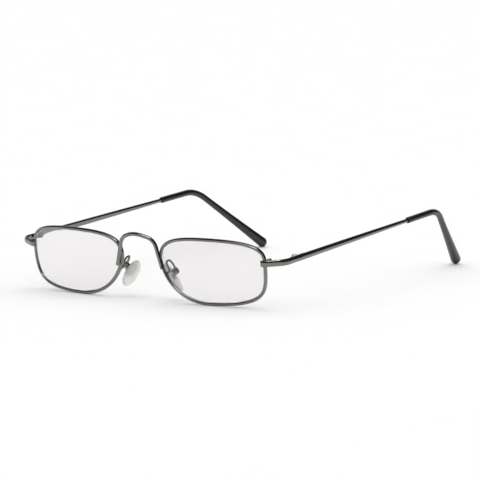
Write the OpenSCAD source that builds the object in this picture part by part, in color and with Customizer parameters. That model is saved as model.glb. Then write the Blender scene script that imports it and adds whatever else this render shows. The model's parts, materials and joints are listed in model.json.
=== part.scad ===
// Metal reading glasses: two half-eye rims with curved lenses, a raised bridge, rocking nose
// pads on wire arms, three-knuckle hinges and straight temples with slipped-on ear tips.
// The front frame has X to the wearer's left, Y to the back and Z up along the rims.
// It is leaned forward at the end so that the rims and the ear tips stand on Z = 0.

/* [Eye shape] */
// From the lens centre to the outer side of the rim's middle line
eye_out = 22.1; // [18:0.1:26]
// From the lens centre to the nose side of the rim's middle line
eye_in = 22.7; // [18:0.1:24]
// From the lens centre up to the rim's middle line
eye_up = 12.9; // [10:0.1:18]
// From the lens centre down to the rim's middle line
eye_down = 12.1; // [10:0.1:20]
// Height of the widest point on the nose side
nose_level = 3.5; // [1:0.1:6]
// Sideways place of the highest point of the rim
crown_at = -2.7; // [-6:0.1:6]
// Sideways place of the lowest point of the rim
foot_at = -2.4; // [-6:0.1:6]
// Fullness of the upper outer corner, on its side and on its top
upper_outer = [0.48, 0.93]; // [0.3:0.01:0.95]
// Fullness of the upper nose corner, on its top and on its side
upper_nose = [0.93, 0.53]; // [0.3:0.01:0.95]
// Fullness of the lower nose corner, on its side and on its foot
lower_nose = [0.2, 0.76]; // [0.1:0.01:0.95]
// Fullness of the lower outer corner, on its foot and on its side
lower_outer = [0.94, 0.82]; // [0.3:0.01:0.95]

/* [Front] */
// Distance between the two lens centres
lens_apart = 64; // [62:0.5:72]
// Turn of each lens round the face, in degrees
face_wrap = 6; // [0:0.5:10]
// Radius of the bowed surface that the rims lie on
bow_r = 88; // [70:1:150]

/* [Rim wire] */
// Thickness of the rim wire in the plane of the lens
wire_w = 1.3; // [1.1:0.05:1.8]
// Depth of the rim wire from front to back
wire_d = 1.8; // [1.6:0.05:2.4]
// Width of the groove that holds the lens
groove_w = 0.9; // [0.6:0.05:1.1]
// Depth of that groove
groove_d = 0.45; // [0.3:0.05:0.6]
// Slot between the two ends of the rim wire
rim_slot = 0.2; // [0.1:0.05:0.4]

/* [Lens] */
// Radius of the lens's flatter back surface
lens_back_r = 137; // [110:1:400]
// Thickness of the lens at its outer edge
lens_edge_t = 1.2; // [1:0.05:1.6]
// Space left between the lens and its groove
bevel_gap = 0.07; // [0.05:0.01:0.12]

/* [Bridge] */
// Diameter of the bridge wire
bridge_d = 1.5; // [1.2:0.05:2]
// Place of the bridge's foot round the rim, in quarters from its outer side
bridge_seat = 2.23; // [2.1:0.01:2.3]
// Side of the rim wire that the foot lies on, in degrees; 90 is straight in front
bridge_side = 118; // [90:1:122]
// From the lens centre inward to the shoulder of the bridge
bridge_in = 24.5; // [23.8:0.1:26]
// Height of the shoulders of the bridge
shoulder_z = 11.7; // [10:0.1:14]
// Height of the corner in the middle of the bridge
bridge_top = 14.5; // [13:0.1:18]
// How far the shoulders of the bridge stand back from its feet
bridge_lean = 0.3; // [-0.2:0.1:0.4]
// How far the middle of the bridge stands forward of its shoulders
bridge_fore = 2.2; // [0:0.1:4]
// Bend radius of the shoulders of the bridge
shoulder_r = 5.3; // [3:0.1:5.5]
// Bend radius of the middle of the bridge
crown_r = 8; // [5:0.5:9]

/* [End pieces] */
// Height of the end piece and of the rim's slot
end_level = 4.5; // [3:0.1:5.5]
// Height of the strip that the end piece and temple start with
strip_h = 2.5; // [2.3:0.05:3]
// Thickness of that strip
strip_t = 1.1; // [0.9:0.05:1.4]
// Length of strip that laps over the rim, inward from the rim's middle
end_lap = 1.2; // [0.8:0.1:1.6]
// Length of strip from the rim's middle to the first bend
end_out = 1.1; // [0.9:0.1:1.6]
// Length of strip between the first and the second bend
end_run = 7.15; // [6:0.05:10]
// Length of strip from the second bend to the hinge
end_back = 9.9; // [9:0.1:13]
// Turn of the strip on the rim, away from straight sideways
end_turn_a = 15; // [10:1:20]
// Turn of the strip between its bends
end_turn_b = 30; // [24:1:46]
// Radius of the first bend
end_r_a = 2.5; // [2:0.1:3]
// Radius of the second bend
end_r_b = 5; // [3:0.1:7]

/* [Closing blocks] */
// Radius of the barrel on each end of the rim wire
block_r = 1; // [0.9:0.05:1.1]
// Height of the upper barrel
block_up = 1.1; // [0.8:0.1:2]
// Height of the lower barrel
block_down = 1.2; // [0.8:0.1:2]
// Radius of the rim screw
rim_screw_r = 0.45; // [0.35:0.05:0.5]
// Radius of the rim screw's head
rim_head_r = 0.75; // [0.65:0.05:0.85]

/* [Hinge] */
// Radius of the hinge knuckles
knuckle_r = 1.2; // [1.1:0.05:1.35]
// Height of the whole stack of knuckles
knuckle_h = 2; // [1.9:0.1:3]
// Height of the middle knuckle
middle_h = 0.8; // [0.7:0.05:1.1]
// Running gap between knuckles
knuckle_gap = 0.05; // [0.04:0.01:0.1]
// From the inner face of the strip to the hinge axis
hinge_in = 1.65; // [1.55:0.05:2]
// Thickness of the hinge's soldered foot
leaf_t = 0.7; // [0.5:0.05:0.8]
// Length of the hinge's soldered foot
leaf_len = 3.4; // [2.5:0.1:4]
// Radius of the hinge screw
pin_r = 0.6; // [0.5:0.05:0.75]
// Radius of the hinge screw's head
pin_head_r = 0.85; // [0.8:0.05:1.0]
// Running clearance round screws
pin_gap = 0.05; // [0.02:0.01:0.08]
// Gap where the temple butts on the end piece
butt_gap = 0.06; // [0.04:0.01:0.12]

/* [Temples] */
// Downward slope of the temple from the front, in degrees
temple_slope = 4.9; // [0:0.1:8]
// Inward turn of the temple, in degrees
temple_toe_in = 1.7; // [0:0.1:3]
// From the hinge to the bend over the ear
temple_reach = 99.9; // [88:0.1:106]
// From the hinge to the start of the ear tip
bare_len = 77.4; // [65:0.1:82]
// From the bend to the end of the ear tip
drop_len = 42.5; // [36:0.5:50]
// Downward angle of the part behind the ear
drop_down = 44; // [30:0.1:55]
// Inward angle of the part behind the ear
drop_in = 22.7; // [0:0.5:30]
// Bend radius over the ear
ear_r = 15; // [12:0.5:26]
// Height of the temple where it enters the ear tip
wire_end_h = 1.5; // [1.4:0.05:1.9]
// Thickness of the temple where it enters the ear tip
wire_end_t = 1.35; // [1.3:0.05:1.6]
// Radius of the core wire inside the ear tip
core_r = 0.65; // [0.5:0.05:0.7]

/* [Ear tips] */
// Radius of the ear tip at its mouth
tip_r = 1.2; // [1.1:0.05:1.5]
// Radius of the ear tip near its end
tip_end_r = 2; // [1.6:0.05:2.4]
// Space between the core wire and the ear tip
core_gap = 0.07; // [0.05:0.01:0.12]

/* [Nose pads] */
// Length of a nose pad
pad_len = 12.3; // [10:0.1:15]
// Width of a nose pad
pad_w = 6.9; // [5.5:0.1:8]
// Thickness of a nose pad
pad_t = 1.9; // [1.5:0.1:2.4]
// How far the pad's pivot lies above the pad's middle
pad_high = 1.5; // [0:0.1:2.5]
// How far the pad's middle lies behind its pivot
pad_aft = 1.1; // [0:0.1:1.4]
// From the lens centre inward to the pad's pivot
pad_in = 20.9; // [20:0.1:21.4]
// Distance of the pad's pivot behind the front
pad_y = 6.2; // [5.6:0.1:8]
// Height of the pad's pivot
pad_z = -2.6; // [-4:0.1:-1.5]
// Outward lean of the pad's lower end, in degrees
pad_flare = 32; // [20:1:40]
// Turn of the pad's rear edge towards the nose, in degrees
pad_splay = 15; // [-10:1:25]

/* [Pad arms] */
// Place of the arm round the rim, in quarters from its outer side
arm_seat = 2.32; // [2.3:0.01:2.45]
// Diameter of the arm wire
arm_d = 0.8; // [0.7:0.05:1.1]
// How far the arm runs straight back from the rim
arm_run = 2.2; // [1.8:0.1:2.8]
// From the lens centre inward to the arm's loop
arm_in = 22.2; // [21.5:0.1:23]
// Height of the arm's loop above the pivot
arm_loop = 4.75; // [4:0.05:6]
// Bend radius of the arm
arm_r = 1; // [0.7:0.1:1.2]
// Radius of the cup that holds the pad
cup_r = 1.35; // [1.25:0.05:1.5]
// Thickness of the pad's metal tab
tab_t = 1; // [0.8:0.05:1.1]
// Radius of the pad's metal tab
tab_r = 0.8; // [0.7:0.05:0.85]
// Radius of the pad screw
pad_screw_r = 0.35; // [0.25:0.05:0.4]

/* [Hidden] */

metal = "dimgray";
bright = "silver";
round_fn = 48;

// Thin space that solder leaves between two pieces of metal
seat = 0.02;
// Quarters round the rim, and the quarter that ends at its foot
full_turn = 4;
foot_turn = 3;
// Steps along each quarter of the rim
quarter_steps = 16;
// Sides of a round wire and of a flat strip
wire_sides = 10;
strip_sides = 12;
// Squareness of the strip's section at its start and of the wire's; 1 is an ellipse
strip_power = 0.45;
wire_power = 0.8;
// Steps in each bend of the bridge and the end piece, and of the pad arm
bend_steps = 6;
arm_steps = 4;

// Vectors and lists

function unit(v) = v / norm(v);
function mix(a, b, s) = a + (b - a) * s;
function total(list, k = 0) = k == len(list) - 1 ? list[k] : list[k] + total(list, k + 1);
function centre_of(ring) = total(ring) / len(ring);
function all_of(rings, axis) = [for (ring = rings, p = ring) p[axis]];

// A direction that runs back, turned inward by toe_in and downward by slope
function heading(toe_in, slope) =
    [-sin(toe_in) * cos(slope), cos(toe_in) * cos(slope), -sin(slope)];

// Paths and sections

// Points of the arc that rounds a corner
function arc_points(before, corner, after, r, steps) =
    let (
        u = unit(corner - before),
        w = unit(after - corner),
        turn = acos(u * w),
        middle = corner + unit(w - u) * r / cos(turn / 2),
        first = corner - u * r * tan(turn / 2) - middle
    )
    [for (k = [0:steps]) middle + first * cos(turn * k / steps) + u * r * sin(turn * k / steps)];

// A path with each inner corner rounded to its own radius
function rounded_path(points, radii, steps) = concat(
    [points[0]],
    [for (k = [1:len(radii)]) each
        arc_points(points[k - 1], points[k], points[k + 1], radii[k - 1], steps)],
    [points[len(points) - 1]]
);

function tangent(path, k) =
    let (
        ahead = k < len(path) - 1 ? unit(path[k + 1] - path[k]) : [0, 0, 0],
        behind = k > 0 ? unit(path[k] - path[k - 1]) : [0, 0, 0]
    )
    unit(ahead + behind);

// A section set square on point k of a path, its height nearest to the axis given
function path_ring(path, k, section, axis) =
    let (
        t = tangent(path, k),
        side = unit(cross(t, axis)),
        up = cross(side, t)
    )
    [for (q = section) path[k] + side * q.x + up * q.y];

function swept(path, sections, axis) =
    [for (k = [0:len(path) - 1]) path_ring(path, k, sections[k], axis)];

function same(section, path) = [for (p = path) section];

function bulge(c, power) = sign(c) * pow(abs(c), power);

function oval(half_w, half_h, power, sides) = [
    for (k = [0:sides - 1])
        let (a = 360 * (k + 0.5) / sides)
        [half_w * bulge(cos(a), power), half_h * bulge(sin(a), power)]
];

// A solid skin over rings that all have as many points, each end closed by a fan
module skin(rings) {
    count = len(rings);
    sides = len(rings[0]);
    first_centre = count * sides;
    walls = [
        for (i = [0:count - 2], k = [0:sides - 1])
            let (
                a = i * sides + k,
                b = i * sides + (k + 1) % sides,
                c = b + sides,
                d = a + sides
            )
            each [[a, b, c], [a, c, d]]
    ];
    fans = [
        for (k = [0:sides - 1])
            let (
                next = (k + 1) % sides,
                last = first_centre - sides
            )
            each [[first_centre, next, k], [first_centre + 1, last + k, last + next]]
    ];
    ends = [centre_of(rings[0]), centre_of(rings[count - 1])];
    polyhedron(concat([for (ring = rings) each ring], ends), concat(walls, fans));
}

// The eye shape, in the lens's own plane: X outward, Y up

outer_side = [eye_out, end_level];
crown = [crown_at, eye_up];
nose_side = [-eye_in, nose_level];
foot = [foot_at, -eye_down];

// A quarter of the outline: it leaves p upright or level and turns by a right angle to q
function quarter(p, q, full, upright, s) =
    let (
        a = upright ? [p.x, mix(p.y, q.y, full[0])] : [mix(p.x, q.x, full[0]), p.y],
        b = upright ? [mix(q.x, p.x, full[1]), q.y] : [q.x, mix(q.y, p.y, full[1])]
    )
    p * pow(1 - s, 3) + a * 3 * s * pow(1 - s, 2) + b * 3 * s * s * (1 - s) + q * pow(s, 3);

// The outline at t quarters from the outer side, going over the crown
function eye(t) =
    let (
        which = floor(t + full_turn) % full_turn,
        s = t - floor(t)
    )
    which == 0 ? quarter(outer_side, crown, upper_outer, true, s)
        : which == 1 ? quarter(crown, nose_side, upper_nose, false, s)
        : which == 2 ? quarter(nose_side, foot, lower_nose, true, s)
        : quarter(foot, outer_side, lower_outer, false, s);

function sag(r, p) = r - sqrt(r * r - p * p);
function on_bow(p) = [p.x, sag(bow_r, p), p.y];

// The rim wire's frame at t: its middle, the way out of the lens and the way forward
function rim_mid(t) = on_bow(eye(t));
function rim_fore(t) = (rim_mid(t) - [0, bow_r, 0]) / bow_r;
function rim_along(t) = unit(rim_mid(t + 0.01) - rim_mid(t - 0.01));
function rim_out(t) = unit(cross(rim_along(t), rim_fore(t)));
function rim_at(t, out, fore) = rim_mid(t) + rim_out(t) * out + rim_fore(t) * fore;

// From a lens's own frame to the front frame
function turned(v) = [
    v.x * cos(face_wrap) - v.y * sin(face_wrap),
    v.x * sin(face_wrap) + v.y * cos(face_wrap),
    v.z
];
function from_lens(p) = turned(p) + [lens_apart / 2, 0, 0];

module at_lens() translate([lens_apart / 2, 0, 0]) rotate([0, 0, face_wrap]) children();

// How far the rim wire reaches from its middle in a direction of the front frame
function rim_reach(t, way) =
    norm([wire_w / 2 * (turned(rim_out(t)) * way), wire_d / 2 * (turned(rim_fore(t)) * way)]);

groove_edge = -wire_w / 2;
lip = (groove_w + wire_d) / 4;
rim_section = concat(
    [for (a = [-90:30:90]) [wire_w / 2 * cos(a), wire_d / 2 * sin(a)]],
    [
        [groove_edge, lip],
        [groove_edge, groove_w / 2],
        [groove_edge + groove_d, 0],
        [groove_edge, -groove_w / 2],
        [groove_edge, -lip],
    ]
);

function rim_ring(t, slide) = [
    for (q = rim_section) rim_at(t, q.x, q.y) + rim_along(t) * slide
];

rim_rings = concat(
    [rim_ring(0, rim_slot / 2)],
    [for (k = [1:full_turn * quarter_steps - 1]) rim_ring(k / quarter_steps, 0)],
    [rim_ring(full_turn, -rim_slot / 2)]
);

module rim() color(metal) at_lens() skin(rim_rings);

// The lens: a bowed front, a bevelled edge in the groove and a flatter back

lens_edge = groove_edge - bevel_gap;
// Share of the lens's side gap that is left at the groove's floor
floor_share = 1.5;
bevel_top = groove_edge + groove_d - floor_share * bevel_gap;
bevel_half = (bevel_top - lens_edge) * groove_w / 2 / groove_d;
lens_middle_y = sag(bow_r, [eye_in, 0]) - sag(lens_back_r, [eye_in, 0]) + lens_edge_t / 2;

function lens_front(p) = on_bow(p) + (on_bow(p) - [0, bow_r, 0]) * lens_edge_t / 2 / bow_r;
function lens_back(p) = [p.x, lens_middle_y + sag(lens_back_r, p), p.y];
function lens_rim(t) =
    let (p = rim_at(t, lens_edge, 0))
    rim_at(t, lens_edge, p.y - lens_back([p.x, p.z]).y);

lens_shares = [0.2, 0.45, 0.72];
around = [for (k = [0:full_turn * quarter_steps - 1]) k / quarter_steps];
lens_rings = concat(
    [for (s = lens_shares) [for (t = around) lens_front(eye(t) * s)]],
    [[for (t = around) rim_at(t, lens_edge, lens_edge_t / 2)]],
    [[for (t = around) rim_at(t, lens_edge, bevel_half)]],
    [[for (t = around) rim_at(t, bevel_top, 0)]],
    [[for (t = around) rim_at(t, lens_edge, -bevel_half)]],
    [[for (t = around) lens_rim(t)]],
    [for (k = [len(lens_shares) - 1:-1:0]) [for (t = around) lens_back(eye(t) * lens_shares[k])]]
);

module lens() color("lavender", 0.35) at_lens() skin(lens_rings);

// The bridge: a raised wire whose feet are soldered on the front of the rims

foot_normal = unit([cos(bridge_side) / wire_w, sin(bridge_side) / wire_d]);
foot_off = [wire_w / 2 * cos(bridge_side), wire_d / 2 * sin(bridge_side)]
    + foot_normal * (seat + bridge_d / 2);
foot_mid = from_lens(rim_at(bridge_seat, foot_off.x, foot_off.y));
shoulder_y = foot_mid.y + bridge_lean;
bridge_half = lens_apart / 2 - bridge_in;
bridge_path = rounded_path(
    [
        foot_mid,
        [bridge_half, shoulder_y, shoulder_z],
        [0, shoulder_y - bridge_fore, bridge_top],
        [-bridge_half, shoulder_y, shoulder_z],
        [-foot_mid.x, foot_mid.y, foot_mid.z],
    ],
    [shoulder_r, crown_r, shoulder_r],
    bend_steps
);
bridge_section = oval(bridge_d / 2, bridge_d / 2, 1, wire_sides);
bridge_rings = swept(bridge_path, same(bridge_section, bridge_path), [0, 1, 0]);

module bridge() color(metal) skin(bridge_rings);

// The end piece: a strip that laps over the rim and turns back to the hinge

rim_end = from_lens(rim_mid(0));
lap_way = [cos(end_turn_a), sin(end_turn_a), 0];
lap_face = [sin(end_turn_a), -cos(end_turn_a), 0];
run_way = [cos(end_turn_b), sin(end_turn_b), 0];
temple_way = heading(temple_toe_in, temple_slope);
lap_mid = rim_end + lap_face * (rim_reach(0, lap_face) + seat + strip_t / 2);
end_bend_a = lap_mid + lap_way * end_out;
end_bend_b = end_bend_a + run_way * end_run;
hinge_mid = end_bend_b + temple_way * end_back;

end_path = rounded_path(
    [
        lap_mid - lap_way * end_lap,
        end_bend_a,
        end_bend_b,
        hinge_mid - temple_way * butt_gap / 2,
    ],
    [end_r_a, end_r_b],
    bend_steps
);
strip_section = oval(strip_t / 2, strip_h / 2, strip_power, strip_sides);

module end_piece() color(metal) skin(swept(end_path, same(strip_section, end_path), [0, 0, 1]));

// The closing blocks: barrels on the two ends of the rim wire, drawn together by a screw

block_web = 1.2;
// How far a hole's cut runs past each end of its block
cut_past = 1;
block_clear = rim_reach(0, unit([1, 1, 0])) + seat + block_r;
run_inner = [-run_way.y, run_way.x, 0];
block_row = end_bend_a + run_inner * (strip_t / 2 + seat + block_r);
block_from = block_row - rim_end;
block_step = -block_from * run_way
    + sqrt(pow(block_from * run_way, 2) - block_from * block_from + block_clear * block_clear);
block_mid = block_row + run_way * block_step;
block_to_rim = unit([rim_end.x - block_mid.x, rim_end.y - block_mid.y, 0]);
web_len = norm([rim_end.x - block_mid.x, rim_end.y - block_mid.y])
    - rim_reach(0, block_to_rim) - seat;

module at_block() translate(block_mid) children();

module closing_block(bottom, height) color(metal) at_block() difference() {
    translate([0, 0, bottom]) {
        cylinder(h = height, r = block_r, $fn = round_fn);
        rotate([0, 0, atan2(block_to_rim.y, block_to_rim.x)])
            translate([0, -block_web / 2, 0]) cube([web_len, block_web, height]);
    }
    translate([0, 0, bottom - cut_past])
        cylinder(h = height + 2 * cut_past, r = rim_screw_r + pin_gap, $fn = round_fn);
}

module closing_block_upper() closing_block(rim_slot / 2, block_up);
module closing_block_lower() closing_block(-rim_slot / 2 - block_down, block_down);

slot_w = 0.25;

// A slotted screw that hangs down from the seat of its head
module screw(shank_r, head_r, head_h, length) color(bright) difference() {
    union() {
        cylinder(h = head_h, r = head_r, $fn = round_fn);
        translate([0, 0, -length]) cylinder(h = length, r = shank_r, $fn = round_fn);
    }
    translate([-head_r, -slot_w / 2, head_h / 2]) cube([2 * head_r, slot_w, head_h]);
}

rim_head_h = 0.3;
module rim_screw() at_block() translate([0, 0, rim_slot / 2 + block_up + seat])
    screw(rim_screw_r, rim_head_r, rim_head_h, block_up + rim_slot + block_down);

// The hinge, drawn at the strip's middle with X outward, Y along the temple and Z along its pin

module at_hinge() translate(hinge_mid) rotate([-temple_slope, 0, temple_toe_in]) children();

leaf_face = -strip_t / 2 - seat;
pin_x = -strip_t / 2 - hinge_in;
// How far the foot stays clear of the knuckles, and of each edge of the strip
leaf_clear = 0.2;
leaf_start = knuckle_r + leaf_clear;
leaf_h = strip_h - 2 * leaf_clear;
pin_head_h = 0.3;
head_depth = pin_head_h + seat;
arm_len = 0.9;

// One knuckle and the arm that joins it to its foot; way is 1 to the back and -1 to the front
module knuckle(bottom, height, way) translate([0, 0, bottom]) {
    translate([pin_x, 0, 0]) cylinder(h = height, r = knuckle_r, $fn = round_fn);
    translate([pin_x, way > 0 ? 0 : -leaf_start - arm_len, 0])
        cube([leaf_face - pin_x, leaf_start + arm_len, height]);
}

module hinge_foot(way)
    translate([leaf_face - leaf_t, way > 0 ? leaf_start : -leaf_start - leaf_len, -leaf_h / 2])
        cube([leaf_t, leaf_len, leaf_h]);

// The pin's hole, which widens at the top to take the screw's head
module pin_hole() translate([pin_x, 0, 0]) {
    translate([0, 0, -knuckle_h])
        cylinder(h = 2 * knuckle_h, r = pin_r + pin_gap, $fn = round_fn);
    translate([0, 0, knuckle_h / 2 - head_depth])
        cylinder(h = knuckle_h, r = pin_head_r + pin_gap, $fn = round_fn);
}

module front_hinge() color(metal) at_hinge() difference() {
    union() {
        knuckle(middle_h / 2 + knuckle_gap, (knuckle_h - middle_h) / 2 - knuckle_gap, -1);
        knuckle(-knuckle_h / 2, (knuckle_h - middle_h) / 2 - knuckle_gap, -1);
        hinge_foot(-1);
    }
    pin_hole();
}

module temple_hinge() color(metal) at_hinge() difference() {
    union() {
        knuckle(-middle_h / 2, middle_h, 1);
        hinge_foot(1);
    }
    pin_hole();
}

module hinge_screw() at_hinge() translate([pin_x, 0, knuckle_h / 2 - pin_head_h])
    screw(pin_r, pin_head_r, pin_head_h, knuckle_h - pin_head_h);

// The temple: a strip that tapers to a wire, which runs on as a core inside the ear tip

drop_way = heading(drop_in, drop_down);
ear_bend = hinge_mid + temple_way * temple_reach;
bend_reach = ear_r * tan(acos(temple_way * drop_way) / 2);
ear_steps = 8;
ear_arc = arc_points(hinge_mid, ear_bend, ear_bend + drop_way * drop_len, ear_r, ear_steps);
function on_temple(s) = hinge_mid + temple_way * s;
function on_drop(s) = ear_bend + drop_way * s;

// Where the core ends, short of the end of the ear tip
core_short = 6;
// Length over which the wire steps down to the core
neck = 0.5;
core_section = oval(core_r, core_r, 1, strip_sides);
middle_share = 0.4;
temple_path = concat(
    [on_temple(butt_gap / 2), on_temple(bare_len / 2), on_temple(bare_len - neck)],
    [on_temple(bare_len)],
    ear_arc,
    [on_drop(drop_len - core_short)]
);
temple_sections = concat(
    [
        strip_section,
        oval(
            mix(strip_t, wire_end_t, middle_share) / 2,
            mix(strip_h, wire_end_h, middle_share) / 2,
            mix(strip_power, wire_power, middle_share),
            strip_sides
        ),
        oval(wire_end_t / 2, wire_end_h / 2, wire_power, strip_sides),
    ],
    [for (k = [3:len(temple_path) - 1]) core_section]
);

module temple() color(metal) skin(swept(temple_path, temple_sections, [0, 0, 1]));

// The ear tip: a sleeve over the core that swells towards its rounded end

// How far the bore runs past the core
bore_past = 0.3;
bore_end = drop_len - core_short + bore_past;
bore_path = concat([on_temple(bare_len + seat)], ear_arc, [on_drop(bore_end)]);
bore_section = oval(core_r + core_gap, core_r + core_gap, 1, strip_sides);
bore_rings = swept(bore_path, same(bore_section, bore_path), [0, 0, 1]);

swell_steps = 5;
// How late the ear tip swells; 1 is a plain cone
swell_power = 1.5;
swell_end = drop_len - tip_end_r;
mouth_round = 0.3;
end_angles = [20:20:80];
sleeve_path = concat(
    [on_temple(bare_len + seat), on_temple(bare_len + seat + mouth_round)],
    ear_arc,
    [for (k = [1:swell_steps]) on_drop(mix(bend_reach, swell_end, k / swell_steps))],
    [for (a = end_angles) on_drop(swell_end + tip_end_r * sin(a))]
);
sleeve_radii = concat(
    [tip_r - mouth_round / 2, tip_r],
    [for (p = ear_arc) tip_r],
    [for (k = [1:swell_steps]) mix(tip_r, tip_end_r, pow(k / swell_steps, swell_power))],
    [for (a = end_angles) tip_end_r * cos(a)]
);
sleeve_sections = [for (r = sleeve_radii) oval(r, r, 1, strip_sides)];
sleeve_rings = swept(sleeve_path, sleeve_sections, [0, 0, 1]);

module temple_tip() color([0.1, 0.1, 0.1])
    skin(concat([for (k = [len(bore_rings) - 1:-1:0]) bore_rings[k]], sleeve_rings));

// The nose pad, drawn at its pivot with X along the pad screw, Y up the pad and Z to the nose

pad_pivot = [lens_apart / 2 - pad_in, pad_y, pad_z];
pad_way = [-cos(pad_flare) * cos(pad_splay), -sin(pad_splay), -sin(pad_flare) * cos(pad_splay)];
pad_up = [-sin(pad_flare), 0, cos(pad_flare)];

module at_pad() translate(pad_pivot)
    rotate([0, -pad_flare, 0]) rotate([90, 0, -90]) rotate([0, pad_splay, 0]) children();

tab_clear = 0.12;
cup_wall = 1.2;
cup_mouth = 0.5;
// Depth of the flats that the pad screw's head and end lie on
flat_in = 0.15;
cup_flat = cup_r - flat_in;
slot_floor = tab_r + tab_clear;
cup_floor = slot_floor + cup_wall;
// Space between the cup's mouth and the pad
mouth_clear = 0.45;
pad_back = cup_mouth + mouth_clear;

module along_x() rotate([0, 90, 0]) children();

module pad_cup() color(metal) at_pad() difference() {
    intersection() {
        translate([0, 0, -cup_floor])
            cylinder(h = cup_floor + cup_mouth, r = cup_r, $fn = round_fn);
        translate([-cup_flat, -cup_r, -cup_floor])
            cube([2 * cup_flat, 2 * cup_r, cup_floor + cup_mouth]);
    }
    translate([-tab_t / 2 - pin_gap, -2 * cup_r, -slot_floor])
        cube([tab_t + 2 * pin_gap, 4 * cup_r, 2 * cup_floor]);
    along_x() translate([0, 0, -2 * cup_r])
        cylinder(h = 4 * cup_r, r = pad_screw_r + pin_gap, $fn = round_fn);
}

// Half width of the plate about the pad's middle, and how far it reaches past the tab
plate_half = 1.2;
plate_past = 0.2;
plate_from = -pad_aft - plate_half;
plate_w = tab_t / 2 + plate_past - plate_from;
plate_len = 4.8;
plate_t = 0.45;
plate_gap = 0.03;
stem_w = 1.2;
pad_head_r = 0.6;
pad_head_h = 0.3;

module pad_insert() color(bright) at_pad() difference() {
    union() {
        along_x() translate([0, 0, -tab_t / 2]) cylinder(h = tab_t, r = tab_r, $fn = round_fn);
        translate([-tab_t / 2, -stem_w / 2, 0]) cube([tab_t, stem_w, pad_back + plate_gap]);
        translate([plate_from, -plate_len / 2, pad_back + plate_gap])
            cube([plate_w, plate_len, plate_t]);
    }
    along_x() translate([0, 0, -tab_t])
        cylinder(h = 2 * tab_t, r = pad_screw_r + pin_gap, $fn = round_fn);
}

module pad_screw() at_pad() translate([cup_flat + seat, 0, 0]) along_x()
    screw(pad_screw_r, pad_head_r, pad_head_h, 2 * cup_flat);

pad_sides = 20;
// How much wider the lower half of the pad is than its upper half
pad_drop_shape = 0.06;
// Share of the full outline and share of the thickness, from the pad's back to its face
pad_layers = [[0.86, 0], [1, 0.35], [0.97, 0.62], [0.85, 0.84], [0.6, 0.96], [0.3, 1]];

function pad_ring(share, level) = [
    for (k = [0:pad_sides - 1])
        let (a = -360 * k / pad_sides)
        [
            share * pad_w / 2 * cos(a) * (1 - pad_drop_shape * sin(a)) - pad_aft,
            share * pad_len / 2 * sin(a) - pad_high,
            pad_back + level * pad_t
        ]
];

module nose_pad() color("gainsboro", 0.6) at_pad() difference() {
    skin([for (layer = pad_layers) pad_ring(layer[0], layer[1])]);
    translate([plate_from - plate_gap, -plate_len / 2 - plate_gap, 0])
        cube([plate_w + 2 * plate_gap, plate_len + 2 * plate_gap, pad_back + plate_t + 2 * plate_gap]);
}

// The pad arm: a wire that leaves the back of the rim, loops up and comes down on the cup

arm_start = from_lens(rim_at(arm_seat, 0, -wire_d / 2 - seat));
arm_back = -turned(rim_fore(arm_seat));
arm_end = pad_pivot + pad_up * (cup_r + seat) - pad_way * (slot_floor + cup_wall / 2);
arm_top = pad_z + arm_loop;
arm_x = lens_apart / 2 - arm_in;
// How far the loop ends in front of the cup and how high above it the wire turns down
arm_stop = 0.4;
arm_drop = 1.6;
arm_path = rounded_path(
    [
        arm_start,
        arm_start + arm_back * arm_run,
        [arm_x, arm_start.y + arm_run, arm_top],
        [arm_x, arm_end.y - arm_stop, arm_top],
        arm_end + pad_up * arm_drop,
        arm_end,
    ],
    [arm_r, arm_r, arm_r, arm_r],
    arm_steps
);
arm_sides = 8;
arm_section = oval(arm_d / 2, arm_d / 2, 1, arm_sides);

module pad_arm() color(metal) skin(swept(arm_path, same(arm_section, arm_path), [1, 0, 0]));

// The stance: the front leans until the rims and the ear tips stand on one plane

low_mid = from_lens(rim_mid(foot_turn));
tip_ball = on_drop(swell_end);
span = [tip_ball.y - low_mid.y, low_mid.z - tip_ball.z];
lean = atan2(span.y, span.x) - asin((wire_w / 2 - tip_end_r) / norm(span));

function leaned(p) = [p.x, p.y * cos(lean) - p.z * sin(lean), p.y * sin(lean) + p.z * cos(lean)];
function leaned_rings(rings) = [for (ring = rings) [for (p = ring) leaned(p)]];

standing_rims = leaned_rings([for (ring = rim_rings) [for (p = ring) from_lens(p)]]);
standing_tips = leaned_rings(sleeve_rings);
front_y = min(all_of(leaned_rings(bridge_rings), 1));
back_y = max(all_of(standing_tips, 1));
floor_z = min(concat(all_of(standing_rims, 2), all_of(standing_tips, 2)));

module stand() translate([0, -(front_y + back_y) / 2, -floor_z]) rotate([lean, 0, 0]) children();

module left() stand() children();
module right() stand() mirror([1, 0, 0]) children();

stand() bridge();
left() rim();  // rim_left
right() rim();  // rim_right
left() lens();  // lens_left
right() lens();  // lens_right
left() end_piece();  // end_piece_left
right() end_piece();  // end_piece_right
left() closing_block_upper();  // closing_block_upper_left
right() closing_block_upper();  // closing_block_upper_right
left() closing_block_lower();  // closing_block_lower_left
right() closing_block_lower();  // closing_block_lower_right
left() rim_screw();  // rim_screw_left
right() rim_screw();  // rim_screw_right
left() front_hinge();  // front_hinge_left
right() front_hinge();  // front_hinge_right
left() hinge_screw();  // hinge_screw_left
right() hinge_screw();  // hinge_screw_right
left() temple_hinge();  // temple_hinge_left
right() temple_hinge();  // temple_hinge_right
left() temple();  // temple_left
right() temple();  // temple_right
left() temple_tip();  // temple_tip_left
right() temple_tip();  // temple_tip_right
left() pad_arm();  // pad_arm_left
right() pad_arm();  // pad_arm_right
left() pad_cup();  // pad_cup_left
right() pad_cup();  // pad_cup_right
left() pad_screw();  // pad_screw_left
right() pad_screw();  // pad_screw_right
left() pad_insert();  // pad_insert_left
right() pad_insert();  // pad_insert_right
left() nose_pad();  // nose_pad_left
right() nose_pad();  // nose_pad_right
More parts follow.
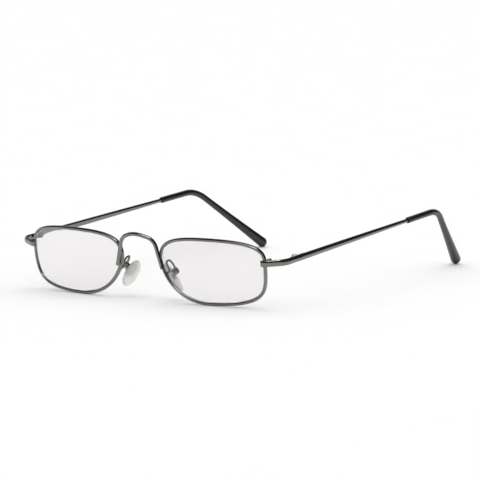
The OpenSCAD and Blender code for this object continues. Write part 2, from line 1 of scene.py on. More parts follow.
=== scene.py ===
"""Looks of the metal half-eye reading glasses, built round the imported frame.

Sizes are in millimetres in the front's own frame, as the frame was designed: X to the wearer's
left, Y to the back, Z up along the rims. `placed` leans the front back and gives metres.
"""

import json
import math

import bmesh
import bpy
import numpy as np
from mathutils import Matrix, Vector


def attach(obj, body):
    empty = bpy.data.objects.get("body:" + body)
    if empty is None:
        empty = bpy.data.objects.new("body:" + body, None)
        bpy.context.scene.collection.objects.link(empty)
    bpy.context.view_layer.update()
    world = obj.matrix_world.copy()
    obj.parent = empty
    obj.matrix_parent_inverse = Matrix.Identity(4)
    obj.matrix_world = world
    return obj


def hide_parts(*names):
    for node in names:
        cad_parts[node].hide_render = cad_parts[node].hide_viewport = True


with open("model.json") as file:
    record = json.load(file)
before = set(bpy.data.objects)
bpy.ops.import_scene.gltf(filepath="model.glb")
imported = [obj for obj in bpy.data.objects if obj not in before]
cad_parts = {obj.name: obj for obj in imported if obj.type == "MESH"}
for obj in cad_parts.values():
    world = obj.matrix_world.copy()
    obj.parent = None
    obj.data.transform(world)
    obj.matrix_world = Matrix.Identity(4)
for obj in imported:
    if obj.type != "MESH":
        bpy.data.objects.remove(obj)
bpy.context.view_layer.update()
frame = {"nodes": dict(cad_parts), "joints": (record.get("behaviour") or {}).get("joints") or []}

MM = 0.001
SIDES = ("left", "right")

# Sizes of the frame, in millimetres and degrees

# The eye shape and the front
eye_out, eye_in, eye_up, eye_down = 22.1, 22.7, 12.9, 12.1
nose_level, crown_at, foot_at = 3.5, -2.7, -2.4
upper_outer, upper_nose = (0.48, 0.93), (0.93, 0.53)
lower_nose, lower_outer = (0.2, 0.76), (0.94, 0.82)
lens_apart, face_wrap, bow_r = 64.0, 6.0, 88.0

# The rim wire and the lens
wire_w, wire_d = 1.3, 1.8
groove_w, groove_d, rim_slot = 0.9, 0.45, 0.2
lens_back_r, lens_edge_t, bevel_gap = 137.0, 1.2, 0.07

# The bridge
bridge_d, bridge_seat, bridge_side = 1.5, 2.23, 118.0
bridge_in, shoulder_z, bridge_top = 24.5, 11.7, 14.5
bridge_lean, bridge_fore, shoulder_r, crown_r = 0.3, 2.2, 5.3, 8.0

# The end pieces
end_level, strip_h, strip_t = 4.5, 2.5, 1.1
end_lap, end_out, end_run, end_back = 1.2, 1.1, 7.15, 9.9
end_turn_a, end_turn_b, end_r_a, end_r_b = 15.0, 30.0, 2.5, 5.0

# The temples and ear tips
butt_gap, temple_slope, temple_toe_in = 0.06, 4.9, 1.7
temple_reach, bare_len, drop_len = 99.9, 77.4, 42.5
drop_down, drop_in, ear_r = 44.0, 22.7, 15.0
wire_end_h, wire_end_t, core_r = 1.5, 1.35, 0.65
tip_r, tip_end_r, core_gap, core_short = 1.2, 2.0, 0.07, 6.0

# Squareness of the strip's inner face, of the wire at the sleeve and of the strip's outer face,
# where 1 is an ellipse. Then the share of the change from strip to wire that is done halfway.
strip_power, wire_power, dome_power, middle_share = 0.45, 0.8, 1.12, 0.4

# The nose pads, their arms and their cups
pad_len, pad_w, pad_t, pad_high, pad_aft = 12.3, 6.9, 1.9, 1.5, 1.1
pad_in, pad_y, pad_z, pad_flare, pad_splay = 20.9, 6.2, -2.6, 32.0, 15.0
arm_seat, arm_d, arm_run, arm_in, arm_loop, arm_r = 2.32, 0.8, 2.2, 22.2, 4.75, 1.0
arm_stop, arm_drop = 0.4, 1.6
cup_r, cup_wall, cup_mouth, mouth_clear = 1.35, 1.2, 0.5, 0.45
tab_r, tab_clear = 0.8, 0.12

# Space left between two soldered pieces
seat = 0.02


# Vectors and paths

def vec(*v):
    return np.array(v, float)


def unit(v):
    return v / np.linalg.norm(v)


def mix(a, b, s):
    return a + (b - a) * s


def cosd(a):
    return math.cos(math.radians(a))


def sind(a):
    return math.sin(math.radians(a))


def heading(toe_in, slope):
    return vec(-sind(toe_in) * cosd(slope), cosd(toe_in) * cosd(slope), -sind(slope))


def toward(azimuth, elevation):
    """The way from the object to a lamp or wall; the azimuth turns from the back to the left."""
    return vec(sind(azimuth) * cosd(elevation), cosd(azimuth) * cosd(elevation), sind(elevation))


def arc_points(before, corner, after, r, steps):
    u, w = unit(corner - before), unit(after - corner)
    turn = math.acos(float(u @ w))
    middle = corner + unit(w - u) * r / math.cos(turn / 2)
    first = corner - u * r * math.tan(turn / 2) - middle
    return [
        middle + first * math.cos(turn * k / steps) + u * r * math.sin(turn * k / steps)
        for k in range(steps + 1)
    ]


def rounded_path(points, radii, steps):
    path = [points[0]]
    for k, r in enumerate(radii):
        path += arc_points(points[k], points[k + 1], points[k + 2], r, steps)
    return path + [points[-1]]


def filled(path, step):
    """The path with points added so that no stretch is longer than the step."""
    dense = [path[0]]
    for a, b in zip(path, path[1:]):
        count = max(1, math.ceil(np.linalg.norm(b - a) / step))
        dense += [mix(a, b, k / count) for k in range(1, count + 1)]
    return dense


def section_ways(path, axis):
    """The side and the up of a section at each point of a path."""
    out = []
    for k, p in enumerate(path):
        way = vec(0, 0, 0)
        if k < len(path) - 1:
            way = way + unit(path[k + 1] - p)
        if k > 0:
            way = way + unit(p - path[k - 1])
        way = unit(way)
        side = unit(np.cross(way, axis))
        out.append((side, np.cross(side, way)))
    return out


# The eye shape and the rim

corners = {
    "outer": vec(eye_out, end_level), "crown": vec(crown_at, eye_up),
    "nose": vec(-eye_in, nose_level), "foot": vec(foot_at, -eye_down),
}
quarters = [
    ("outer", "crown", upper_outer, True), ("crown", "nose", upper_nose, False),
    ("nose", "foot", lower_nose, True), ("foot", "outer", lower_outer, False),
]


def eye(t):
    """The outline at t quarters from its outer side, going over the crown."""
    start, end, full, upright = quarters[math.floor(t) % 4]
    s = t - math.floor(t)
    p, q = corners[start], corners[end]
    if upright:
        a, b = vec(p[0], mix(p[1], q[1], full[0])), vec(mix(q[0], p[0], full[1]), q[1])
    else:
        a, b = vec(mix(p[0], q[0], full[0]), p[1]), vec(q[0], mix(q[1], p[1], full[1]))
    return p * (1 - s) ** 3 + a * 3 * s * (1 - s) ** 2 + b * 3 * s * s * (1 - s) + q * s ** 3


def sag(r, p):
    return r - math.sqrt(r * r - p[0] * p[0] - p[1] * p[1])


def on_bow(p):
    return vec(p[0], sag(bow_r, p), p[1])


def rim_mid(t):
    return on_bow(eye(t))


def rim_fore(t):
    return (rim_mid(t) - vec(0, bow_r, 0)) / bow_r


def rim_along(t):
    return unit(rim_mid(t + 0.01) - rim_mid(t - 0.01))


def rim_out(t):
    return unit(np.cross(rim_along(t), rim_fore(t)))


def rim_at(t, out, fore):
    return rim_mid(t) + rim_out(t) * out + rim_fore(t) * fore


def turned(v):
    c, s = cosd(face_wrap), sind(face_wrap)
    return vec(v[0] * c - v[1] * s, v[0] * s + v[1] * c, v[2])


def from_lens(p):
    return turned(p) + vec(lens_apart / 2, 0, 0)


def rim_reach(t, way):
    across, fore = turned(rim_out(t)), turned(rim_fore(t))
    return math.hypot(wire_w / 2 * across @ way, wire_d / 2 * fore @ way)


# The stance: the front leans until rims and ear tips stand on one plane

temple_way = heading(temple_toe_in, temple_slope)
drop_way = heading(drop_in, drop_down)

rim_end = from_lens(rim_mid(0))
lap_way = vec(cosd(end_turn_a), sind(end_turn_a), 0)
lap_face = vec(sind(end_turn_a), -cosd(end_turn_a), 0)
run_way = vec(cosd(end_turn_b), sind(end_turn_b), 0)
lap_mid = rim_end + lap_face * (rim_reach(0, lap_face) + seat + strip_t / 2)
end_bend_a = lap_mid + lap_way * end_out
end_bend_b = end_bend_a + run_way * end_run
hinge_mid = end_bend_b + temple_way * end_back
ear_bend = hinge_mid + temple_way * temple_reach
bend_reach = ear_r * math.tan(math.acos(float(temple_way @ drop_way)) / 2)
swell_end = drop_len - tip_end_r


def on_temple(s):
    return hinge_mid + temple_way * s


def on_drop(s):
    return ear_bend + drop_way * s


low_mid, tip_ball = from_lens(rim_mid(3)), on_drop(swell_end)
span = vec(tip_ball[1] - low_mid[1], low_mid[2] - tip_ball[2])
lean = math.degrees(
    math.atan2(span[1], span[0]) - math.asin((wire_w / 2 - tip_end_r) / np.linalg.norm(span))
)


def leaned(p):
    return vec(p[0], p[1] * cosd(lean) - p[2] * sind(lean), p[1] * sind(lean) + p[2] * cosd(lean))


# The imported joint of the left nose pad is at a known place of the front, which gives the shift.
pad_pivot = vec(lens_apart / 2 - pad_in, pad_y, pad_z)
pad_joint = next(j for j in frame["joints"] if j["name"] == "pad_left_rock")
shift = np.array(pad_joint["pos_m"]) / MM - leaned(pad_pivot)


def placed(p, side="left"):
    """A point of the front's frame, in metres where the object stands; the right is mirrored."""
    q = (leaned(p) + shift) * MM
    return q if side == "left" else q * vec(-1, 1, 1)


def swung(v, side="left"):
    """A direction of the front's frame, where the object stands."""
    q = leaned(v)
    return q if side == "left" else q * vec(-1, 1, 1)


# Node trees: one class for a socket's maths, one for adding nodes

class Value:
    """A socket of a node tree. Arithmetic on it adds Math nodes."""

    def __init__(self, maker, socket):
        self.maker, self.socket = maker, socket

    def math(self, operation, *others, clamp=False):
        inputs = dict(enumerate((self, *others)))
        settings = {"operation": operation, "use_clamp": clamp}
        return self.maker.add("ShaderNodeMath", settings, inputs)

    def __add__(self, other): return self.math("ADD", other)
    def __radd__(self, other): return self.math("ADD", other)
    def __sub__(self, other): return self.math("SUBTRACT", other)
    def __rsub__(self, other): return self.maker.number("SUBTRACT", other, self)
    def __mul__(self, other): return self.math("MULTIPLY", other)
    def __truediv__(self, other): return self.math("DIVIDE", other)
    def __pow__(self, other): return self.math("POWER", other)
    def __neg__(self): return self.math("MULTIPLY", -1.0)


class Maker:
    """Adds nodes to a tree, each with its settings first and then its sockets' values or links."""

    def __init__(self, tree):
        self.tree = tree

    def node(self, kind, settings=None, inputs=None):
        made = self.tree.nodes.new(kind)
        for name, value in (settings or {}).items():
            setattr(made, name, value)
        for name, value in (inputs or {}).items():
            socket = made.inputs[name]
            if isinstance(value, Value):
                self.tree.links.new(value.socket, socket)
            else:
                socket.default_value = value
        return made

    def add(self, kind, settings=None, inputs=None, output=0):
        return Value(self, self.node(kind, settings, inputs).outputs[output])

    def number(self, operation, *values):
        return self.add("ShaderNodeMath", {"operation": operation}, dict(enumerate(values)))

    def vector(self, operation, *values, output=0):
        inputs = dict(enumerate(values))
        return self.add("ShaderNodeVectorMath", {"operation": operation}, inputs, output)

    def scaled(self, vector, size):
        return self.add("ShaderNodeVectorMath", {"operation": "SCALE"}, {0: vector, "Scale": size})


# One Geometry Nodes tree sweeps a section along a path: wires, strips, sleeves and pad arms

def sweep_tree():
    tree = bpy.data.node_groups.new("section along a path", "GeometryNodeTree")
    face = tree.interface
    face.new_socket("Path", in_out="INPUT", socket_type="NodeSocketGeometry")
    for name, kind in (
        ("Sides", "NodeSocketInt"), ("Groove Width", "NodeSocketFloat"),
        ("Groove Depth", "NodeSocketFloat"), ("Weld Distance", "NodeSocketFloat"),
        ("Finish", "NodeSocketMaterial"),
    ):
        face.new_socket(name, in_out="INPUT", socket_type=kind)
    face.new_socket("Mesh", in_out="OUTPUT", socket_type="NodeSocketGeometry")

    g = Maker(tree)
    given = g.node("NodeGroupInput")
    gives = {s.name: Value(g, s) for s in given.outputs if s.name}
    path, sides = gives["Path"], gives["Sides"]
    count = g.add("GeometryNodeAttributeDomainSize", {"component": "MESH"}, {"Geometry": path})
    ring = sides + 1.0
    grid = g.add("GeometryNodeMeshGrid", {}, {"Vertices X": count, "Vertices Y": ring})
    index = g.add("GeometryNodeInputIndex")
    row = (index / ring).math("FLOOR")
    angle = (index - row * ring) * (2 * math.pi) / sides

    def at_row(name, kind):
        field = g.add("GeometryNodeInputPosition") if name == "position" else g.add(
            "GeometryNodeInputNamedAttribute", {"data_type": kind}, {"Name": name})
        node = g.node("GeometryNodeSampleIndex", {"data_type": kind, "clamp": True})
        g.tree.links.new(path.socket, node.inputs["Geometry"])
        g.tree.links.new(field.socket, node.inputs["Value"])
        g.tree.links.new(row.socket, node.inputs["Index"])
        return Value(g, node.outputs["Value"])

    middle, across, up = (at_row(n, "FLOAT_VECTOR") for n in ("position", "across", "up"))
    half_w, half_h, power, inner_power = (
        at_row(n, "FLOAT") for n in ("half_w", "half_h", "power", "inner_power"))
    along = at_row("along", "FLOAT")
    c, s = angle.math("COSINE"), angle.math("SINE")
    bend = power + c.math("LESS_THAN", 0.0) * (inner_power - power)
    x = half_w * c.math("SIGN") * c.math("ABSOLUTE") ** bend
    y = half_h * s.math("SIGN") * s.math("ABSOLUTE") ** bend
    groove_floor = -half_w + gives["Groove Depth"] * (
        1.0 - y.math("ABSOLUTE") * 2.0 / gives["Groove Width"].math("MAXIMUM", 1e-6))
    cut = c.math("LESS_THAN", 0.0) * gives["Groove Depth"].math("GREATER_THAN", 0.0)
    x = x + cut * (x.math("MAXIMUM", groove_floor) - x)
    place = g.vector("ADD", g.vector("ADD", middle, g.scaled(across, x)), g.scaled(up, y))
    mesh = g.add("GeometryNodeSetPosition", {}, {"Geometry": grid, "Position": place})
    mesh = g.add("GeometryNodeStoreNamedAttribute", {"data_type": "FLOAT", "domain": "POINT"},
                 {"Geometry": mesh, "Name": "along", "Value": along})
    mesh = g.add("GeometryNodeMergeByDistance", {},
                 {"Geometry": mesh, "Distance": gives["Weld Distance"]})
    mesh = g.add("GeometryNodeSetShadeSmooth", {}, {"Geometry": mesh})
    mesh = g.add("GeometryNodeRealizeInstances", {}, {"Geometry": mesh})
    mesh = g.add("GeometryNodeSetMaterial", {}, {"Geometry": mesh, "Material": gives["Finish"]})
    g.node("NodeGroupOutput", {}, {"Mesh": mesh})
    return tree


sweep = sweep_tree()
# Points nearer than this, in metres, are merged: the seam of the section and its closed ends
weld = 2e-6


def path_mesh(name, rows):
    """Bare points that carry a section each.

    A row is (point, across, up, half_w, half_h, power, inner_power).
    """
    mesh = bpy.data.meshes.new(name)
    points = np.array([r[0] for r in rows])
    mesh.from_pydata(points.tolist(), [], [])
    steps = np.linalg.norm(np.diff(points, axis=0), axis=1)
    along = np.concatenate([[0.0], np.cumsum(steps)])
    for key, column in (("across", 1), ("up", 2)):
        data = mesh.attributes.new(key, "FLOAT_VECTOR", "POINT").data
        data.foreach_set("vector", np.array([r[column] for r in rows], np.float32).ravel())
    for key, values in (
        ("half_w", [r[3] for r in rows]), ("half_h", [r[4] for r in rows]),
        ("power", [r[5] for r in rows]), ("inner_power", [r[6] for r in rows]), ("along", along),
    ):
        data = mesh.attributes.new(key, "FLOAT", "POINT").data
        data.foreach_set("value", np.array(values, np.float32))
    return mesh


def outward(mesh):
    """Turns the faces of a closed mesh outwards."""
    bm = bmesh.new()
    bm.from_mesh(mesh)
    bmesh.ops.recalc_face_normals(bm, faces=bm.faces)
    bm.to_mesh(mesh)
    bm.free()


def swept(name, rows, sides, finish, groove=(0.0, 0.0), sharp=40.0):
    """A closed solid along the rows, made by the tree and turned into a plain mesh."""
    obj = bpy.data.objects.new(name, path_mesh(name, rows))
    bpy.context.scene.collection.objects.link(obj)
    modifier = obj.modifiers.new("sweep", "NODES")
    modifier.node_group = sweep
    sizes = {
        "Sides": sides, "Groove Width": groove[0], "Groove Depth": groove[1],
        "Weld Distance": weld, "Finish": finish,
    }
    for item in sweep.interface.items_tree:
        if item.name in sizes:
            modifier[item.identifier] = sizes[item.name]
    graph = bpy.context.evaluated_depsgraph_get()
    mesh = bpy.data.meshes.new_from_object(obj.evaluated_get(graph))
    obj.modifiers.clear()
    obj.data = mesh
    outward(mesh)
    mesh.set_sharp_from_angle(angle=math.radians(sharp))
    return obj


def row_at(p, across, up, side, w, h, *powers):
    """A row in metres for a point and a section of the front's frame."""
    return placed(p, side), swung(across, side), swung(up, side), w * MM, h * MM, *powers


def rows_along(path, sizes, axis, side):
    """Rows for a path of the front's frame.

    Sizes has a half width, a half height and two squarenesses for each point.
    """
    rows = []
    for p, (across, up), size in zip(path, section_ways(path, axis), sizes):
        rows.append(row_at(p, across, up, side, *size))
    return rows


def eased_ends(rows, ease, steps=3):
    """Closes both ends of the rows with a flat face and an edge of that radius, in metres."""
    def end(row, next_in):
        p, across, up, w, h, *powers = row
        way = unit(p - next_in[0])
        out = []
        for k in range(steps + 1):
            a = math.pi / 2 * k / steps
            less = ease * (1 - math.cos(a))
            out.append((
                p + way * ease * (math.sin(a) - 1), across, up, w - less, h - less, *powers))
        return out + [(out[-1][0], across, up, 0.0, 0.0, *powers)]

    return end(rows[0], rows[1])[::-1] + rows[1:-1] + end(rows[-1], rows[-2])


# Finishes

def finish_of(name):
    """An empty material with a Principled shader, and the maker of its nodes."""
    material = bpy.data.materials.new(name)
    material.use_nodes = True
    material.node_tree.nodes.clear()
    m = Maker(material.node_tree)
    shader = m.node("ShaderNodeBsdfPrincipled")
    out = m.node("ShaderNodeOutputMaterial")
    material.node_tree.links.new(shader.outputs[0], out.inputs["Surface"])
    return material, m, shader


def feed(m, shader, **links):
    for name, value in links.items():
        m.tree.links.new(value.socket, shader.inputs[name.replace("_", " ")])


def constants(shader, **values):
    for name, value in values.items():
        shader.inputs[name.replace("_", " ")].default_value = value


def noise(m, scale, detail=2.0, stretch=(1, 1, 1)):
    """Noise on Object coordinates in metres: a scale of 1000 has features of about a millimetre."""
    where = m.add("ShaderNodeTexCoord", output=3)
    where = m.add("ShaderNodeMapping", {}, {"Vector": where, "Scale": stretch})
    inputs = {"Vector": where, "Scale": scale, "Detail": detail}
    return m.add("ShaderNodeTexNoise", {"noise_dimensions": "3D"}, inputs)


def between(m, factor, first, second):
    """A colour that goes from the first to the second as the factor goes from 0 to 1."""
    inputs = {0: factor, 6: (*first, 1), 7: (*second, 1)}
    return m.add("ShaderNodeMix", {"data_type": "RGBA"}, inputs, output=2)


def bump(m, height, strength, distance):
    """A fine relief; the distance is its depth in metres."""
    inputs = {"Strength": strength, "Distance": distance, "Height": height}
    return m.add("ShaderNodeBump", {}, inputs)


def metal_finish(name, dark, light, low_rough, high_rough, grain):
    """Polished plated metal: cloudy plating, fine polishing lines in its gloss, a slight wave."""
    material, m, shader = finish_of(name)
    cloud = noise(m, 260.0, 3.0)
    lines = noise(m, 5200.0, 2.0, (1, 1, 0.35))
    feed(
        m, shader,
        Base_Color=between(m, cloud.math("MULTIPLY_ADD", 1.6, -0.3, clamp=True), dark, light),
        Roughness=low_rough + (lines * 0.7 + cloud * 0.3) * (high_rough - low_rough),
        Normal=bump(m, lines, grain, 4e-6),
    )
    constants(shader, Metallic=1.0)
    return material


gunmetal = metal_finish(
    "polished_gunmetal", (0.18, 0.177, 0.168), (0.235, 0.231, 0.221), 0.09, 0.2, 0.12)
plated_steel = metal_finish(
    "bright_plated_steel", (0.58, 0.57, 0.55), (0.7, 0.69, 0.67), 0.12, 0.26, 0.12)


def ear_tip_finish():
    """Black plastic with a satin gloss and a very fine moulded grain."""
    material, m, shader = finish_of("satin_black_plastic")
    haze = noise(m, 180.0, 3.0)
    grain = noise(m, 6500.0, 2.0)
    feed(
        m, shader,
        Base_Color=between(m, haze, (0.003, 0.003, 0.0032), (0.006, 0.006, 0.0064)),
        Roughness=0.26 + haze * 0.08 + grain * 0.04,
        Normal=bump(m, grain, 0.15, 6e-6),
    )
    constants(shader, IOR=1.58)
    return material


def lens_finish():
    """Clear plastic with a trace of a warm tint."""
    material, m, shader = finish_of("clear_lens")
    haze = noise(m, 60.0, 2.0)
    feed(m, shader, Base_Color=between(m, haze, (0.88, 0.859, 0.868), (0.89, 0.869, 0.878)))
    constants(shader, Roughness=0.0, IOR=1.5, Transmission_Weight=1.0)
    return material


def pad_finish():
    """Clear soft silicone, slightly cloudy, with darker spots where it has been handled."""
    material, m, shader = finish_of("clear_silicone")
    cloud = noise(m, 520.0, 3.0)
    spots = noise(m, 950.0, 2.0)
    marks = spots.math("MULTIPLY_ADD", 5.5, -3.0, clamp=True)
    worn = (marks * 0.7 + cloud * 0.15).math("MINIMUM", 1.0)
    feed(
        m, shader,
        Base_Color=between(m, worn, (0.96, 0.95, 0.94), (0.66, 0.65, 0.635)),
        Roughness=0.26 + cloud * 0.16,
        Normal=bump(m, spots, 0.25, 5e-5),
    )
    constants(shader, IOR=1.4, Transmission_Weight=0.66)
    return material


black_plastic, clear_lens, silicone = ear_tip_finish(), lens_finish(), pad_finish()


def seat_on(obj, body, nodes):
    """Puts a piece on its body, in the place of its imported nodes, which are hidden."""
    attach(obj, body)
    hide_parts(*nodes)


# The pieces

# Faces round each kind of section
rim_faces, wire_faces, arm_faces, strip_faces, tip_faces = 56, 28, 24, 40, 40
# Squareness of the rim wire on its grooved side
groove_side_power = 0.62
# Radius of the broken edge at the ends of the strip
strip_ease = 0.12


def round_wire(path, radius, flare, reach):
    """Sections of a round wire that widens to a fillet of solder at both ends."""
    steps = np.linalg.norm(np.diff(np.array(path), axis=0), axis=1)
    along = np.concatenate([[0.0], np.cumsum(steps)])
    radii = radius + flare * np.exp(-along / reach)
    radii = radii + flare * np.exp((along - along[-1]) / reach)
    return [(r, r, 1.0, 1.0) for r in radii]


def rim(side):
    """The grooved wire round the lens, open at the slot that the rim screw closes."""
    per_quarter = 70
    steps = 4 * per_quarter
    slide = rim_slot / 2
    rows = []
    for k in range(steps + 1):
        t = k / per_quarter
        nudge = slide if k == 0 else -slide if k == steps else 0.0
        p = from_lens(rim_mid(t) + rim_along(t) * nudge)
        rows.append(row_at(
            p, turned(rim_out(t)), turned(rim_fore(t)), side, wire_w / 2, wire_d / 2, 1.0,
            groove_side_power))
    rows = eased_ends(rows, 0.05 * MM)
    obj = swept(f"{side}_rim", rows, rim_faces, gunmetal, (groove_w * MM, groove_d * MM), sharp=32)
    seat_on(obj, "front", [f"rim_{side}"])


def grid_solid(name, rings, finish, sharp):
    """A closed solid over rings of points in metres, each end closed by a fan round its middle."""
    sides = len(rings[0])
    points = [p for ring in rings for p in ring]
    faces = []
    for row in range(0, len(points) - sides, sides):
        for k in range(sides):
            after = (k + 1) % sides
            faces.append((row + k, row + after, row + sides + after, row + sides + k))
    for ring, first in ((rings[0], 0), (rings[-1], len(points) - sides)):
        middle = len(points)
        points.append(sum(ring) / sides)
        faces += [(middle, first + (k + 1) % sides, first + k) for k in range(sides)]
    mesh = bpy.data.meshes.new(name)
    mesh.from_pydata([tuple(p) for p in points], [], faces)
    mesh.update()
    outward(mesh)
    mesh.shade_smooth()
    mesh.set_sharp_from_angle(angle=math.radians(sharp))
    mesh.materials.append(finish)
    obj = bpy.data.objects.new(name, mesh)
    bpy.context.scene.collection.objects.link(obj)
    return obj


def lens(side):
    """The lens: a bowed front, a bevelled edge that sits in the groove and a flatter back."""
    edge = -wire_w / 2 - bevel_gap
    top = -wire_w / 2 + groove_d - 1.5 * bevel_gap
    # The bevel's top is rounded by this much
    blunt = 0.03
    half = (top - edge) * groove_w / 2 / groove_d
    middle_y = sag(bow_r, (eye_in, 0)) - sag(lens_back_r, (eye_in, 0)) + lens_edge_t / 2

    def front(p):
        q = on_bow(p)
        return q + (q - vec(0, bow_r, 0)) * lens_edge_t / 2 / bow_r

    def back(p):
        return vec(p[0], middle_y + sag(lens_back_r, p), p[1])

    def rim_side(t):
        p = rim_at(t, edge, 0)
        return rim_at(t, edge, p[1] - back((p[0], p[2]))[1])

    per_quarter = 60
    around = [k / per_quarter for k in range(4 * per_quarter)]
    # The rings of each face, as shares of the way from the middle to the edge
    shares = [0.02, 0.08, 0.16, 0.26, 0.37, 0.48, 0.59, 0.7, 0.8, 0.88, 0.93]
    rings = [[front(eye(t) * s) for t in around] for s in shares]
    rings += [
        [rim_at(t, edge, lens_edge_t / 2) for t in around],
        [rim_at(t, edge, half) for t in around],
        [rim_at(t, top - blunt, blunt) for t in around],
        [rim_at(t, top, 0) for t in around],
        [rim_at(t, top - blunt, -blunt) for t in around],
        [rim_at(t, edge, -half) for t in around],
        [rim_side(t) for t in around],
    ]
    rings += [[back(eye(t) * s) for t in around] for s in reversed(shares)]
    rings = [[placed(from_lens(p), side) for p in ring] for ring in rings]
    obj = grid_solid(f"{side}_lens", rings, clear_lens, 25)
    # A clear lens lets the light through to the floor
    obj.visible_shadow = False
    seat_on(obj, "front", [f"lens_{side}"])


def bridge():
    """The raised wire between the rims, with a rounded end on each foot."""
    normal = unit(vec(cosd(bridge_side) / wire_w, sind(bridge_side) / wire_d))
    on_wire = vec(wire_w / 2 * cosd(bridge_side), wire_d / 2 * sind(bridge_side))
    off = on_wire + normal * (seat + bridge_d / 2)
    foot = from_lens(rim_at(bridge_seat, off[0], off[1]))
    shoulder_y = foot[1] + bridge_lean
    half = lens_apart / 2 - bridge_in
    path = rounded_path(
        [
            foot, vec(half, shoulder_y, shoulder_z), vec(0, shoulder_y - bridge_fore, bridge_top),
            vec(-half, shoulder_y, shoulder_z), foot * vec(-1, 1, 1),
        ],
        [shoulder_r, crown_r, shoulder_r], 24,
    )
    path = filled(path, 0.5)
    sizes = round_wire(path, bridge_d / 2, 0.1, 0.6)
    rows = rows_along(path, sizes, vec(0, 1, 0), "left")
    obj = swept("bridge_wire", eased_ends(rows, 0.3 * MM, steps=4), wire_faces, gunmetal)
    seat_on(obj, "front", ["bridge"])


def end_piece(side):
    """The strip that laps over the rim and runs back to the hinge in two bends."""
    path = rounded_path(
        [
            lap_mid - lap_way * end_lap, end_bend_a, end_bend_b,
            hinge_mid - temple_way * butt_gap / 2,
        ],
        [end_r_a, end_r_b], 20,
    )
    path = filled(path, 0.4)
    sizes = [(strip_t / 2, strip_h / 2, dome_power, strip_power)] * len(path)
    rows = eased_ends(rows_along(path, sizes, vec(0, 0, 1), side), strip_ease * MM)
    obj = swept(f"{side}_end_piece", rows, strip_faces, gunmetal, sharp=50)
    seat_on(obj, "front", [f"end_piece_{side}"])


def temple(side):
    """The strip that tapers to a wire and runs on as a thinner core inside the ear tip."""
    # Before the sleeve's mouth the wire narrows to a neck of this length, in a step of this height
    neck, shoulder = 0.5, 0.1
    bare_steps = 90
    arc = arc_points(hinge_mid, ear_bend, ear_bend + drop_way * drop_len, ear_r, 24)
    stations = [butt_gap / 2] + [bare_len * k / bare_steps for k in range(1, bare_steps)]
    stations = [s for s in stations if s < bare_len - neck]

    def strip(s):
        half_way = bare_len / 2
        at_hinge = strip_t, strip_h, dome_power, strip_power
        at_wire = wire_end_t, wire_end_h, 1.0, wire_power
        middle = [mix(a, b, middle_share) for a, b in zip(at_hinge, at_wire)]
        if s < half_way:
            t, h, *powers = (mix(a, b, s / half_way) for a, b in zip(at_hinge, middle))
        else:
            share = min(1, (s - half_way) / (bare_len - neck - half_way))
            t, h, *powers = (mix(a, b, share) for a, b in zip(middle, at_wire))
        return t / 2, h / 2, *powers

    sections = [strip(s) for s in stations] + [strip(bare_len), strip(bare_len)]
    path = [on_temple(s) for s in stations]
    path += [on_temple(bare_len - neck), on_temple(bare_len - neck + shoulder)]
    core = [on_temple(bare_len)] + arc + [on_drop(drop_len - core_short)]
    half_t, half_h, *powers = sections[-1]
    sections[-1] = (half_t - shoulder, half_h - shoulder, *powers)
    path += core
    sections += [(core_r, core_r, 1.0, 1.0)] * len(core)
    rows = eased_ends(rows_along(path, sections, vec(0, 0, 1), side), strip_ease * MM)
    obj = swept(f"{side}_temple", rows, strip_faces, gunmetal, sharp=50)
    seat_on(obj, f"temple_{side}", [f"temple_{side}"])


def temple_tip(side):
    """The sleeve over the core: a bore, a rounded mouth and a swelling towards the round end."""
    arc = arc_points(hinge_mid, ear_bend, ear_bend + drop_way * drop_len, ear_r, 30)
    mouth, mouth_round = bare_len + seat, 0.3
    # The bore runs this far past the core's end
    past_core = 0.3
    bore_r, bore_end = core_r + core_gap, drop_len - core_short + past_core
    lip_steps, straight_steps, swell_steps, end_steps = 5, 13, 30, 12
    swell_power = 1.5
    path, radii = [], []

    def put(p, r):
        path.append(p)
        radii.append(r)

    for p in [on_drop(bore_end)] + arc[::-1]:
        put(p, bore_r)
    put(on_temple(mouth), bore_r)
    inner_count = len(path)
    put(on_temple(mouth), tip_r - mouth_round)
    for k in range(1, lip_steps + 1):
        a = k / lip_steps * 90
        put(on_temple(mouth + mouth_round * (1 - cosd(a))), tip_r - mouth_round * (1 - sind(a)))
    straight = np.linspace(mouth + 1.2, temple_reach - bend_reach - 0.4, straight_steps + 1)
    for p in [on_temple(s) for s in straight] + arc:
        put(p, tip_r)
    for k in range(1, swell_steps + 1):
        share = k / swell_steps
        radius = mix(tip_r, tip_end_r, share ** swell_power)
        put(on_drop(mix(bend_reach, swell_end, share)), radius)
    for k in range(1, end_steps + 1):
        a = 90 * k / end_steps
        put(on_drop(swell_end + tip_end_r * sind(a)), max(tip_end_r * cosd(a), 0.0))
    outer = section_ways(path[inner_count:], vec(0, 0, 1))
    inner = section_ways(path[:inner_count][::-1], vec(0, 0, 1))[::-1]
    rows = []
    for p, r, (across, up) in zip(path, radii, inner + outer):
        rows.append(row_at(p, across, up, side, r, r, 1.0, 1.0))
    rows.insert(0, (*rows[0][:3], 0.0, 0.0, 1.0, 1.0))
    obj = swept(f"{side}_ear_tip", rows, tip_faces, black_plastic, sharp=60)
    seat_on(obj, f"temple_{side}", [f"temple_tip_{side}"])


# The pad faces pad_way, towards the nose, and its length runs along pad_up
pad_way = vec(
    -cosd(pad_flare) * cosd(pad_splay), -sind(pad_splay), -sind(pad_flare) * cosd(pad_splay))
pad_up = vec(-sind(pad_flare), 0, cosd(pad_flare))
pad_side = np.cross(pad_up, pad_way)


def at_pad(x, y, z):
    """A point of the pad's own frame: X along its screw, Y up the pad and Z to the nose."""
    return pad_pivot + pad_side * x + pad_up * y + pad_way * z


